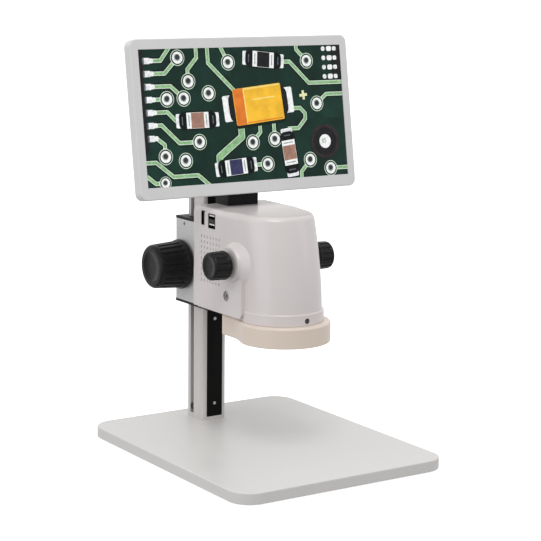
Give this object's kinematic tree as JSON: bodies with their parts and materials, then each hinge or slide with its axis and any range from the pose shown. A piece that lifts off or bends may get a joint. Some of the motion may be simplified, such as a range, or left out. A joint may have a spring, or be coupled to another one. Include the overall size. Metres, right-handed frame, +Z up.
{
  "type": "lcd digital microscope",
  "caption": "Digital microscope head with ring light and tilting LCD screen, on a rack-and-pinion carriage that slides up a square pillar above a flat rectangular base.",
  "frame": {"origin": "centre of the footprint, on the surface that the four rubber feet stand on", "axes": "+Z up along the pillar, -Y towards the user, +X to the right of a user who faces the screen"},
  "size_m": [0.275, 0.32, 0.4482],
  "materials": {
    "base_paint": "satin powder coat",
    "white_shell": "semi gloss moulding",
    "white_metal": "white powder coat on aluminium",
    "black_anodised": "black anodised",
    "column_metal": "satin anodised",
    "frame_metal": "machined",
    "black_metal": "matte black",
    "steel": "machined",
    "screw_steel": "bright",
    "black_plastic": "moulded",
    "screen_plastic": "fine texture",
    "ring_plastic": "semi gloss",
    "diffuser": "frosted",
    "rubber": "matte",
    "bronze": "machined",
    "acetal": "moulded",
    "lens_glass": "coated",
    "screen_glass": "lit picture",
    "board": "solder mask",
    "led": "clear",
    "sensor": "clear"
  },
  "bodies": {
    "stand": {"base_plate": "base_paint", "rubber_feet": "rubber", "column_foot": "white_metal", "foot_bolts": "steel", "column": "column_metal", "stop_pins": "black_metal", "column_cap": "black_plastic", "rail_strip": "black_anodised", "rail_screws": "screw_steel", "gear_rack": "steel"},
    "carriage": {"focus_block": "white_metal", "block_top_plate": "black_metal", "block_bottom_plate": "black_metal", "plate_screws": "black_metal", "guide_pads": "acetal", "pad_screws": "steel", "shaft_bushes": "bronze", "head_shell": "white_shell", "head_base": "white_shell", "collar_screw": "screw_steel", "optical_frame": "frame_metal", "frame_bolts": "steel", "side_screws": "screw_steel", "head_screws": "steel", "lens_barrel": "black_anodised", "objective_lens": "lens_glass", "relay_lens": "lens_glass", "camera_board": "board", "image_sensor": "sensor", "zoom_bushes": "bronze", "main_board": "board", "hdmi_socket": "steel", "usb_socket": "steel", "power_jack": "black_plastic", "ring_light_housing": "ring_plastic", "ring_light_board": "board", "ring_light_leds": "led", "ring_light_diffuser": "diffuser", "screen_bracket": "black_anodised", "bracket_screws": "steel", "hinge_pin": "steel", "hinge_nut": "steel", "hinge_washers": "steel"},
    "focus_knobs": {"pinion_shaft": "steel", "focus_knob_right": "black_plastic", "focus_knob_left": "black_plastic", "knob_grub_screws": "steel"},
    "zoom_knobs": {"zoom_shaft": "steel", "zoom_knob_right": "black_plastic", "zoom_knob_left": "black_plastic"},
    "zoom_carrier": {"zoom_cell": "black_anodised", "zoom_lens": "lens_glass"},
    "screen": {"screen_back_shell": "screen_plastic", "screen_bezel": "screen_plastic", "casing_screws": "screw_steel", "lcd_panel": "screen_glass", "screen_chassis": "frame_metal", "screen_board": "board", "screen_mount": "black_metal", "mount_screws": "steel"}
  },
  "joints": [
    {"name": "focus_slide", "type": "slide", "parent": "stand", "child": "carriage", "axis": [0, 0, 1], "range_m": [-0.08, 0.09]},
    {"name": "focus_knob_spin", "type": "hinge", "parent": "carriage", "child": "focus_knobs", "pos_m": [0, 0.1255, 0.192], "axis": [1, 0, 0], "range_deg": [-820, 924]},
    {"name": "zoom_knob_spin", "type": "hinge", "parent": "carriage", "child": "zoom_knobs", "pos_m": [0, -0.0077, 0.2134], "axis": [1, 0, 0], "range_deg": [-95, 95]},
    {"name": "zoom_carrier_slide", "type": "slide", "parent": "carriage", "child": "zoom_carrier", "axis": [0, 0, 1], "range_m": [-0.01, 0.01]},
    {"name": "screen_tilt", "type": "hinge", "parent": "carriage", "child": "screen", "pos_m": [0, 0.06332, 0.29991], "axis": [-1, 0, 0], "range_deg": [-4, 12]}
  ],
  "couplings": [
    {"joint": "focus_knob_spin", "follows": "focus_slide", "rad_per_m": 178.57},
    {"joint": "zoom_carrier_slide", "follows": "zoom_knob_spin", "m_per_rad": -0.006}
  ]
}
